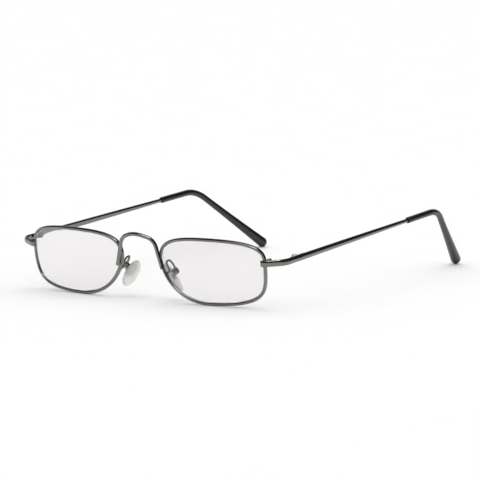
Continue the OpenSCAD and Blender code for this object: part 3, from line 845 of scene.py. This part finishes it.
def nose_pad(side):
    """A soft oval pad, crowned on the nose side, with a rolled edge and a flat back."""
    back = cup_mouth + mouth_clear
    around, egg = 72, 0.06
    rings = []
    # Share of the pad's half width and half length, and level in its thickness
    outline = [
        (0.5, 0.0), (0.8, 0.0), (0.88, 0.015), (0.935, 0.07), (0.97, 0.16), (0.99, 0.26),
        (1.0, 0.37), (0.995, 0.5), (0.97, 0.62), (0.92, 0.735), (0.85, 0.835), (0.75, 0.905),
        (0.62, 0.955), (0.47, 0.982), (0.3, 0.995), (0.12, 1.0),
    ]
    for share, level in outline:
        ring = []
        for k in range(around):
            a = -360 * k / around
            x = share * pad_w / 2 * cosd(a) * (1 - egg * sind(a)) - pad_aft
            y = share * pad_len / 2 * sind(a) - pad_high
            ring.append(placed(at_pad(x, y, back + level * pad_t), side))
        rings.append(ring)
    obj = grid_solid(f"{side}_nose_pad", rings, silicone, 70)
    seat_on(obj, f"pad_{side}", [f"nose_pad_{side}"])


def pad_arm(side):
    """The thin wire that runs back from the rim, loops over and comes down into the cup."""
    slot_floor = tab_r + tab_clear
    start = from_lens(rim_at(arm_seat, 0, -wire_d / 2 - seat))
    away = -turned(rim_fore(arm_seat))
    end = pad_pivot + pad_up * (cup_r + seat) - pad_way * (slot_floor + cup_wall / 2)
    top = pad_z + arm_loop
    arm_x = lens_apart / 2 - arm_in
    path = rounded_path(
        [
            start, start + away * arm_run, vec(arm_x, start[1] + arm_run, top),
            vec(arm_x, end[1] - arm_stop, top), end + pad_up * arm_drop, end,
        ],
        [arm_r] * 4, 12,
    )
    path = filled(path, 0.3)
    rows = rows_along(path, round_wire(path, arm_d / 2, 0.18, 0.3), vec(1, 0, 0), side)
    obj = swept(f"{side}_pad_arm", eased_ends(rows, 0.06 * MM), arm_faces, gunmetal)
    seat_on(obj, "front", [f"pad_arm_{side}"])


def sharp_edges(bm):
    return [e for e in bm.edges if e.is_manifold and e.calc_face_angle(0) > math.radians(30.0)]


def rounded_off(bm, edges, radius, segments):
    bmesh.ops.bevel(
        bm, geom=edges, offset=radius * MM, offset_type="OFFSET", segments=segments, profile=0.5,
        affect="EDGES", clamp_overlap=True, harden_normals=False,
    )


def machined(name, node, body, finish, round_off, crown=None):
    """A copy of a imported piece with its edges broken, as a turned or stamped piece has them.

    A crown gives a point, a way out of the piece there and a radius: that end is rounded first.
    """
    mesh = frame["nodes"][node].data.copy()
    mesh.name = name
    bm = bmesh.new()
    bm.from_mesh(mesh)
    bmesh.ops.remove_doubles(bm, verts=bm.verts, dist=1e-7)
    bmesh.ops.dissolve_limit(bm, angle_limit=math.radians(0.5), verts=bm.verts, edges=bm.edges)
    if crown:
        point, way, radius = Vector(crown[0]), Vector(crown[1]), crown[2]
        end = [
            e for e in sharp_edges(bm)
            if all(abs((v.co - point).dot(way)) < 1e-6 for v in e.verts)
        ]
        rounded_off(bm, end, radius, 5)
    rounded_off(bm, sharp_edges(bm), round_off, 2)
    bmesh.ops.recalc_face_normals(bm, faces=bm.faces)
    bm.to_mesh(mesh)
    bm.free()
    mesh.materials.clear()
    mesh.materials.append(finish)
    mesh.shade_smooth()
    mesh.set_sharp_from_angle(angle=math.radians(35))
    obj = bpy.data.objects.new(name, mesh)
    bpy.context.scene.collection.objects.link(obj)
    seat_on(obj, body, [node])


for side in SIDES:
    rim(side)
    lens(side)
    end_piece(side)
    temple(side)
    temple_tip(side)
    nose_pad(side)
    pad_arm(side)
    for part, body, slot, finish, edge in (
        ("closing_block_upper", "front", "frame", gunmetal, 0.08),
        ("closing_block_lower", "front", "frame", gunmetal, 0.08),
        ("rim_screw", "front", "screw", plated_steel, 0.05),
        ("front_hinge", "front", "frame", gunmetal, 0.06),
        ("hinge_screw", "front", "screw", plated_steel, 0.05),
        ("temple_hinge", f"temple_{side}", "frame", gunmetal, 0.06),
        ("pad_screw", "front", "screw", plated_steel, 0.04),
        ("pad_insert", f"pad_{side}", "screw", plated_steel, 0.05),
    ):
        machined(f"{side}_{part}", f"{part}_{side}", body, finish, edge)
    cup_end = placed(at_pad(0, 0, -(tab_r + tab_clear + cup_wall)), side)
    machined(f"{side}_pad_cup", f"pad_cup_{side}", "front", gunmetal, 0.07,
             crown=(cup_end, swung(-pad_way, side), 0.75))
bridge()


# Floor, light and camera

def floor():
    """A pale table top.

    It ends beside and before the picture, where the polished metal mirrors its edges.
    """
    material, m, shader = finish_of("pale_floor")
    grain = noise(m, 40.0, 3.0)
    feed(m, shader, Base_Color=between(m, grain, (0.90, 0.90, 0.895), (0.92, 0.92, 0.915)))
    constants(shader, Roughness=0.9)
    shader.inputs["Specular IOR Level"].default_value = 0.2
    mesh = bpy.data.meshes.new("floor")
    # Metres, with the top a hair below the rims and ear tips that rest on it
    far, right, front, top = 6.0, 0.24, -0.45, -2e-5
    points = [(-far, front, top), (right, front, top), (right, far, top), (-far, far, top)]
    mesh.from_pydata(points, [], [(0, 1, 2, 3)])
    mesh.materials.append(material)
    obj = bpy.data.objects.new("floor", mesh)
    bpy.context.scene.collection.objects.link(obj)


def sun(name, azimuth, elevation, strength, spread):
    """A wide soft sun, so that the floor is lit evenly out to the edges of the picture."""
    data = bpy.data.lights.new(name, "SUN")
    data.energy, data.angle = strength, math.radians(spread)
    obj = bpy.data.objects.new(name, data)
    obj.rotation_mode = "QUATERNION"
    obj.rotation_quaternion = (-Vector(toward(azimuth, elevation))).to_track_quat("-Z", "Y")
    obj.visible_glossy = False
    bpy.context.scene.collection.objects.link(obj)


def camera():
    """The photograph's camera, fitted in the front's own frame: far off, with a long lens."""
    right, up, back = (leaned(v) for v in (
        vec(0.81950, 0.56522, -0.09469), vec(-0.07119, 0.26434, 0.96180),
        vec(0.56866, -0.78145, 0.25686)))
    place = (leaned(vec(1108.05, -1457.78, 493.28)) + shift) * MM
    picture, focal = 480, 5009
    data = bpy.data.cameras.new("camera")
    data.sensor_width = 36.0
    data.lens = focal / picture * data.sensor_width
    half_pixel = 0.5 / picture
    data.shift_x, data.shift_y = -half_pixel, half_pixel
    data.clip_start, data.clip_end = 0.1, 20.0
    obj = bpy.data.objects.new("camera", data)
    turn = np.column_stack([unit(right), unit(up), unit(back)])
    whole = np.eye(4)
    whole[:3, :3], whole[:3, 3] = turn, place
    obj.matrix_world = Matrix(whole.tolist())
    bpy.context.scene.collection.objects.link(obj)
    bpy.context.scene.camera = obj


# Light of the room on the object, and the levels of what polished metal mirrors in it. A way is
# where each lies from the object. An edge is where it fades, as cosines of the angle from its way.
room_light = 0.765
pale_wall, dark_wall, dark_az, dark_el, dark_edge = 0.8, 0.03, 98.0, 20.0, (-0.22, -0.04)
ceiling, ceiling_edge = 0.05, (0.08, 0.24)
backdrop, backdrop_az, backdrop_el, backdrop_edge = 0.5, -36.0, 16.0, (0.8, 0.93)
softbox, softbox_way, softbox_edge = 8.0, (0.31, -0.51, 0.80), (0.974, 0.99)
wide_box, wide_box_way, wide_box_edge = 1.7, (0.12, -0.56, 0.82), (0.91, 0.95)


def step(m, value, edge, at_low, at_high):
    """A smooth change from one level to another while the value crosses the edge."""
    inputs = {
        "Value": value, "From Min": edge[0], "From Max": edge[1],
        "To Min": at_low, "To Max": at_high,
    }
    return m.add("ShaderNodeMapRange", {"interpolation_type": "SMOOTHSTEP"}, inputs)


def studio():
    """The world: white to the camera and through the lenses, and a room to the polished metal.

    The room has pale walls, a dark wall on the wearer's left, a dark ceiling, a pale backdrop and
    two softboxes in front, a small bright one and a wide faint one.
    """
    world = bpy.data.worlds.new("studio")
    bpy.context.scene.world = world
    world.use_nodes = True
    world.node_tree.nodes.clear()
    m = Maker(world.node_tree)
    rays = m.node("ShaderNodeLightPath")
    kinds = ("Is Camera Ray", "Is Glossy Ray", "Is Transmission Ray")
    seen, shiny, through = (Value(m, rays.outputs[n]) for n in kinds)
    way = m.add("ShaderNodeTexCoord", output=0)

    def nearness(middle):
        return m.vector("DOT_PRODUCT", way, tuple(middle), output=1)

    walls = step(m, nearness(toward(dark_az, dark_el)), dark_edge, pale_wall, dark_wall)
    mirrored = walls + (ceiling - walls) * step(m, nearness((0, 0, 1)), ceiling_edge, 0.0, 1.0)
    for middle, edge, level in (
        (unit(vec(*softbox_way)), softbox_edge, softbox),
        (toward(backdrop_az, backdrop_el), backdrop_edge, backdrop),
        (unit(vec(*wide_box_way)), wide_box_edge, wide_box),
    ):
        mirrored = mirrored + step(m, nearness(middle), edge, 0.0, level)
    strength = shiny * mirrored + (1.0 - shiny)
    plain = m.node("ShaderNodeBackground", {}, {"Color": (1, 1, 1, 1), "Strength": room_light})
    bright = m.node("ShaderNodeBackground", {}, {"Color": (1, 1, 1, 1), "Strength": strength})
    both = m.node("ShaderNodeMixShader", {}, {0: (seen + shiny + through).math("MINIMUM", 1.0)})
    world.node_tree.links.new(plain.outputs[0], both.inputs[1])
    world.node_tree.links.new(bright.outputs[0], both.inputs[2])
    out = m.node("ShaderNodeOutputWorld")
    world.node_tree.links.new(both.outputs[0], out.inputs["Surface"])


floor()
# Azimuth, elevation, strength and spread
sun("key", -60.0, 62.0, 0.75, 70.0)
sun("fill", 120.0, 70.0, 0.5, 90.0)
camera()
studio()

bpy.context.scene.view_settings.view_transform = "Standard"
